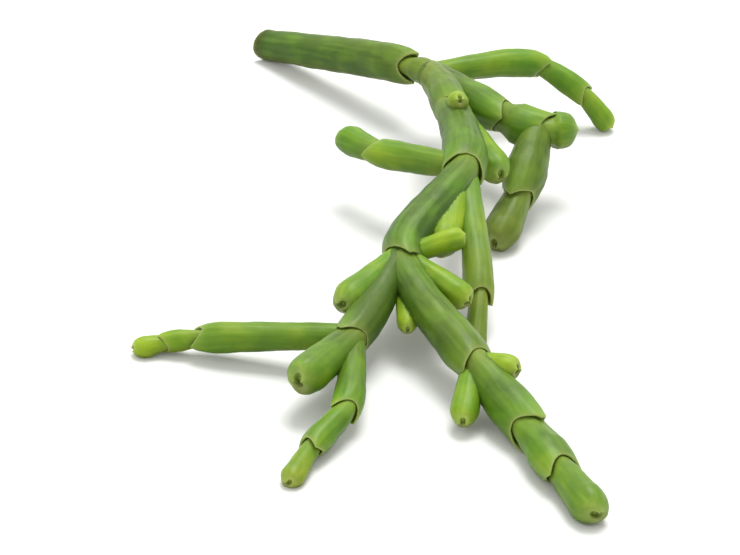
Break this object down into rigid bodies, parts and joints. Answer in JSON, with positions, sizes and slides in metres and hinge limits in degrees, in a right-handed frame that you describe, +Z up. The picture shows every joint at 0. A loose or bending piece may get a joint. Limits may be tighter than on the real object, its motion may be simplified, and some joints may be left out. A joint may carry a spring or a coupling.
{
  "type": "marsh samphire sprig",
  "caption": "Cut sprig of marsh samphire lying on a surface: a jointed, fleshy green stem with paired leaf tips at its joints, blunt side shoots and buds, and a slanting cut end.",
  "frame": {"origin": "on the surface that the sprig lies on, under the middle of its box", "axes": "+Z up from the surface, +Y back along the sprig towards its cut end, +X to the right seen from the tip of the main stem"},
  "size_m": [0.0598, 0.1058, 0.0135],
  "materials": {
    "stem_skin": "waxy green plant skin, deep green, satin",
    "shoot_skin": "waxy green plant skin, fresh green with yellow-green tips, satin"
  },
  "bodies": {
    "root": {"main_stem": "stem_skin", "rear_right_shoot": "shoot_skin", "right_shoot": "shoot_skin", "lower_right_shoot": "shoot_skin", "rear_left_shoot": "shoot_skin", "middle_shoot": "shoot_skin", "left_shoot": "shoot_skin", "front_left_shoot": "shoot_skin", "far_left_shoot": "shoot_skin", "near_left_shoot": "shoot_skin"}
  },
  "joints": []
}
